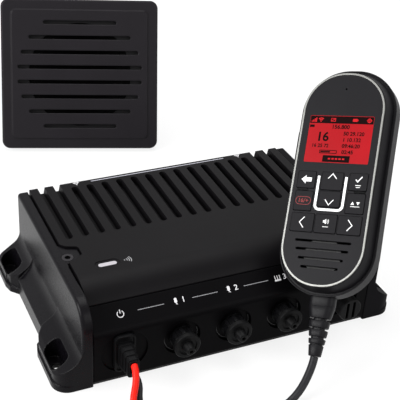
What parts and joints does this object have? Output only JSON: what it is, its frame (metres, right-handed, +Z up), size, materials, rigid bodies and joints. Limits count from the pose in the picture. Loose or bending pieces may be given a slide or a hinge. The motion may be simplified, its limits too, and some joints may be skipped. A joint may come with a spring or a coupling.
{
  "type": "vhf marine radio",
  "caption": "Black-box marine radio: finned transceiver on mounting feet with capped ports and power lead, corded handset with lit screen, and slotted loudspeaker.",
  "frame": {"origin": "on the floor under the middle of the transceiver case", "axes": "+X to the right seen from the port side, +Y towards the antenna side, +Z up"},
  "size_m": [0.3033, 0.5933, 0.1806],
  "materials": {
    "basket": "black",
    "black_lead": "PVC",
    "board": "solder mask green",
    "brass": "plated",
    "cap": "matt",
    "cone": "coated",
    "cord": "matt",
    "display": "backlit red",
    "distress": "red",
    "gasket": "matt",
    "handset": "fine texture",
    "handset_rubber": "soft",
    "key": "matt",
    "lens": "translucent",
    "light": "white",
    "painted_bracket": "satin black powder coat",
    "painted_case": "satin black powder coat",
    "panel": "matt black",
    "plug": "matt",
    "red_lead": "PVC",
    "shield": "tin plate",
    "socket": "matt black",
    "speaker": "matt",
    "steel": "dull",
    "trim": "satin",
    "window": "clear"
  },
  "bodies": {
    "transceiver": {"amplifier": "shield", "base_gasket": "gasket", "base_plate": "painted_case", "black_coil": "black_lead", "black_lead": "black_lead", "bracket_screws": "steel", "case_screws": "steel", "case_shell": "painted_case", "connector_panel": "panel", "gps_socket": "brass", "handset_coil": "cord", "handset_connector": "handset", "handset_cord": "cord", "left_bracket": "painted_bracket", "main_board": "board", "port_sockets": "socket", "power_plug": "plug", "power_socket": "socket", "red_coil": "red_lead", "red_lead": "red_lead", "rf_shield": "shield", "right_bracket": "painted_bracket", "status_lens": "lens", "vhf_socket": "brass"},
    "handset": {"handset_back": "handset", "handset_board": "board", "handset_front": "handset", "handset_relief": "handset_rubber", "handset_screws": "steel", "handset_seal": "gasket", "handset_speaker": "handset", "handset_trim": "trim", "display_window": "window", "display_module": "display", "light_bar": "light"},
    "speaker": {"speaker_basket": "basket", "speaker_gland": "speaker", "speaker_grille": "speaker", "speaker_housing": "speaker", "speaker_screws": "steel"},
    "speaker_cone": {"speaker_cone": "cone"},
    "ptt": {"ptt_button": "handset_rubber"},
    "distress_flap": {"distress_flap": "distress"},
    "distress_key": {"distress_key": "distress"},
    "network_cap": {"network_cap": "cap"},
    "port_cap_1": {"port_cap_1": "cap"},
    "port_collar_1": {"port_collar_1": "cap"},
    "port_cap_2": {"port_cap_2": "cap"},
    "port_collar_2": {"port_collar_2": "cap"},
    "port_cap_3": {"port_cap_3": "cap"},
    "port_collar_3": {"port_collar_3": "cap"},
    "key_back": {"key_back": "key"},
    "key_channel": {"key_channel": "key"},
    "key_down": {"key_down": "key"},
    "key_left": {"key_left": "key"},
    "key_middle": {"key_middle": "key"},
    "key_ok": {"key_ok": "key"},
    "key_option": {"key_option": "key"},
    "key_right": {"key_right": "key"},
    "key_up": {"key_up": "key"}
  },
  "joints": [
    {"name": "handset_lift", "type": "slide", "parent": "transceiver", "child": "handset", "axis": [0, 0, 1], "range_m": [0, 0.12]},
    {"name": "speaker_lift", "type": "slide", "parent": "transceiver", "child": "speaker", "axis": [0, 0, 1], "range_m": [0, 0.12]},
    {"name": "speaker_cone_travel", "type": "slide", "parent": "speaker", "child": "speaker_cone", "axis": [-0.2868, -0.8673, 0.4067], "range_m": [-0.0008, 0.0008], "stiffness_N_per_m": 3000},
    {"name": "key_back_press", "type": "slide", "parent": "handset", "child": "key_back", "axis": [0.658, 0.3509, -0.6662], "range_m": [0, 0.0008], "stiffness_N_per_m": 1500, "springref_m": -0.0003},
    {"name": "key_channel_press", "type": "slide", "parent": "handset", "child": "key_channel", "axis": [0.658, 0.3509, -0.6662], "range_m": [0, 0.0008], "stiffness_N_per_m": 1500, "springref_m": -0.0003},
    {"name": "key_down_press", "type": "slide", "parent": "handset", "child": "key_down", "axis": [0.658, 0.3509, -0.6662], "range_m": [0, 0.0008], "stiffness_N_per_m": 1500, "springref_m": -0.0003},
    {"name": "key_left_press", "type": "slide", "parent": "handset", "child": "key_left", "axis": [0.658, 0.3509, -0.6662], "range_m": [0, 0.0008], "stiffness_N_per_m": 1500, "springref_m": -0.0003},
    {"name": "key_middle_press", "type": "slide", "parent": "handset", "child": "key_middle", "axis": [0.658, 0.3509, -0.6662], "range_m": [0, 0.0008], "stiffness_N_per_m": 1500, "springref_m": -0.0003},
    {"name": "key_ok_press", "type": "slide", "parent": "handset", "child": "key_ok", "axis": [0.658, 0.3509, -0.6662], "range_m": [0, 0.0008], "stiffness_N_per_m": 1500, "springref_m": -0.0003},
    {"name": "key_option_press", "type": "slide", "parent": "handset", "child": "key_option", "axis": [0.658, 0.3509, -0.6662], "range_m": [0, 0.0008], "stiffness_N_per_m": 1500, "springref_m": -0.0003},
    {"name": "key_right_press", "type": "slide", "parent": "handset", "child": "key_right", "axis": [0.658, 0.3509, -0.6662], "range_m": [0, 0.0008], "stiffness_N_per_m": 1500, "springref_m": -0.0003},
    {"name": "key_up_press", "type": "slide", "parent": "handset", "child": "key_up", "axis": [0.658, 0.3509, -0.6662], "range_m": [0, 0.0008], "stiffness_N_per_m": 1500, "springref_m": -0.0003},
    {"name": "ptt_press", "type": "slide", "parent": "handset", "child": "ptt", "axis": [0.6325, -0.7377, 0.2361], "range_m": [0, 0.0012], "stiffness_N_per_m": 2500, "springref_m": -0.0003},
    {"name": "distress_flap_hinge", "type": "hinge", "parent": "handset", "child": "distress_flap", "pos_m": [0.11351, -0.02132, 0.14309], "axis": [0.6325, -0.7377, 0.2361], "range_deg": [0, 100], "stiffness_Nm_per_rad": 0.01, "springref_deg": -17.19},
    {"name": "distress_key_press", "type": "slide", "parent": "handset", "child": "distress_key", "axis": [-0.658, -0.3509, 0.6662], "range_m": [0, 0.0012], "stiffness_N_per_m": 1500, "springref_m": -0.0003},
    {"name": "port_cap_1_pull", "type": "slide", "parent": "transceiver", "child": "port_cap_1", "axis": [0, -1, 0], "range_m": [0, 0.012]},
    {"name": "port_collar_1_turn", "type": "hinge", "parent": "transceiver", "child": "port_collar_1", "pos_m": [-0.043, -0.082, 0.025], "axis": [0, -1, 0], "range_deg": [0, 45]},
    {"name": "port_cap_2_pull", "type": "slide", "parent": "transceiver", "child": "port_cap_2", "axis": [0, -1, 0], "range_m": [0, 0.012]},
    {"name": "port_collar_2_turn", "type": "hinge", "parent": "transceiver", "child": "port_collar_2", "pos_m": [-0.003, -0.082, 0.025], "axis": [0, -1, 0], "range_deg": [0, 45]},
    {"name": "port_cap_3_pull", "type": "slide", "parent": "transceiver", "child": "port_cap_3", "axis": [0, -1, 0], "range_m": [0, 0.012]},
    {"name": "port_collar_3_turn", "type": "hinge", "parent": "transceiver", "child": "port_collar_3", "pos_m": [0.0375, -0.082, 0.025], "axis": [0, -1, 0], "range_deg": [0, 45]},
    {"name": "network_cap_pull", "type": "slide", "parent": "transceiver", "child": "network_cap", "axis": [0, -1, 0], "range_m": [0, 0.02]}
  ]
}
